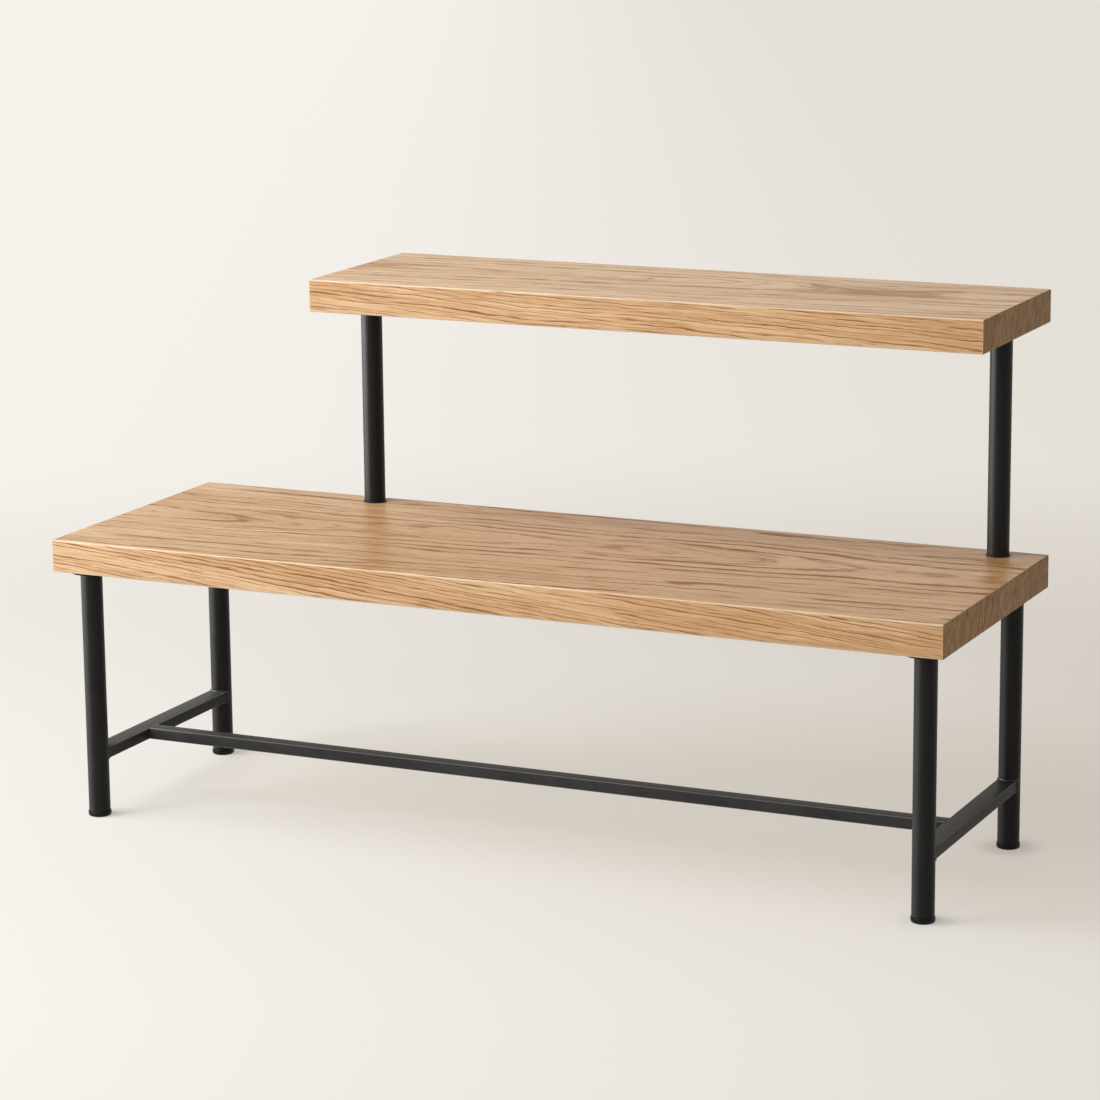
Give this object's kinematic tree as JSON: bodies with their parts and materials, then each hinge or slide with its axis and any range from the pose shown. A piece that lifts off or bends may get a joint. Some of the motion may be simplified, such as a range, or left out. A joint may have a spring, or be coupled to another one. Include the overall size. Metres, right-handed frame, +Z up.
{
  "type": "tiered display table",
  "caption": "Tiered display table: a long low wooden shelf on round black steel legs with side rails and a stretcher, and a shorter raised wooden shelf on posts along its back.",
  "frame": {"origin": "on the floor, in the middle of the table's outer box", "axes": "+X along the boards to the right as seen from the front, +Y from the low front towards the raised shelf at the back, +Z up"},
  "size_m": [1.2, 0.505, 0.688],
  "materials": {
    "oak": "natural oak, matt clear oil, eased edges",
    "black_steel": "satin black powder coat",
    "black_plastic": "moulded black polyethylene, slightly glossy",
    "black_screw": "black phosphated screw steel",
    "bare_steel": "zinc-plated steel, hidden inside"
  },
  "bodies": {
    "root": {"front_left_foot_cap": "black_plastic", "front_left_leg": "black_steel", "front_left_leg_plate": "black_steel", "front_left_plate_screws": "black_screw", "front_right_foot_cap": "black_plastic", "front_right_leg": "black_steel", "front_right_leg_plate": "black_steel", "front_right_plate_screws": "black_screw", "left_cleat_screws": "black_screw", "left_post": "black_steel", "left_post_cleat": "black_steel", "left_post_plug": "bare_steel", "left_post_stud": "bare_steel", "left_post_washer": "black_steel", "left_side_rail": "black_steel", "left_stretcher_tongue": "bare_steel", "left_tongue_screw": "black_screw", "long_stretcher": "black_steel", "lower_board": "oak", "rear_left_foot_cap": "black_plastic", "rear_left_leg": "black_steel", "rear_left_leg_plate": "black_steel", "rear_left_plate_screws": "black_screw", "rear_right_foot_cap": "black_plastic", "rear_right_leg": "black_steel", "rear_right_leg_plate": "black_steel", "rear_right_plate_screws": "black_screw", "right_cleat_screws": "black_screw", "right_post": "black_steel", "right_post_cleat": "black_steel", "right_post_plug": "bare_steel", "right_post_stud": "bare_steel", "right_post_washer": "black_steel", "right_side_rail": "black_steel", "right_stretcher_tongue": "bare_steel", "right_tongue_screw": "black_screw", "upper_board": "oak"}
  },
  "joints": []
}
